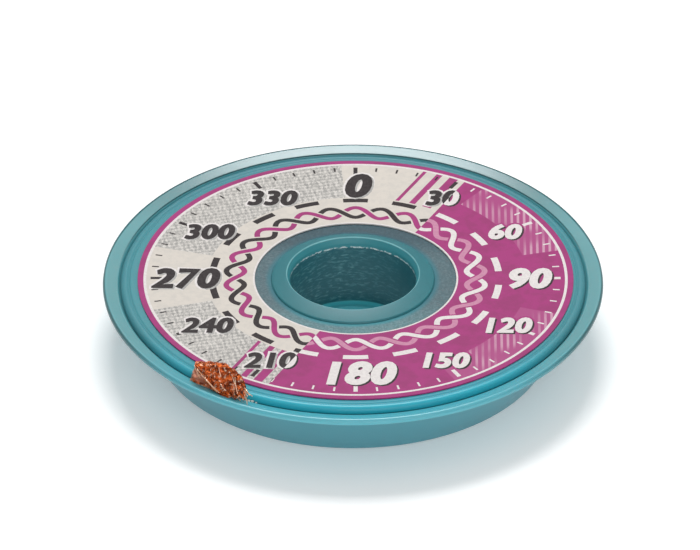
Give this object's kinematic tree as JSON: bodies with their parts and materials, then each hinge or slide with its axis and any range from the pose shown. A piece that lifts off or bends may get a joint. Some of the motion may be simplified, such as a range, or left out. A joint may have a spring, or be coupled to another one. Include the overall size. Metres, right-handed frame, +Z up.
{
  "type": "desoldering braid",
  "caption": "Flat copper desoldering braid wound in a round translucent teal bobbin with a dished case, flat lid, ring label and open hub, its end folded back over the rim.",
  "frame": {"origin": "centre of the bobbin's base, on the hub's axis, at the part's lowest face", "axes": "+Z up the hub's axis from the base to the lid, -Y towards the side where the braid's end comes out, +X to that side's right"},
  "size_m": [0.047, 0.047, 0.009],
  "materials": {
    "teal_plastic": "satin, slightly translucent",
    "label_paper": "printed, satin",
    "copper_braid": "bare copper wire, woven flat"
  },
  "bodies": {
    "root": {"bobbin_case": "teal_plastic", "lid": "teal_plastic", "label": "label_paper", "braid": "copper_braid"}
  },
  "joints": []
}
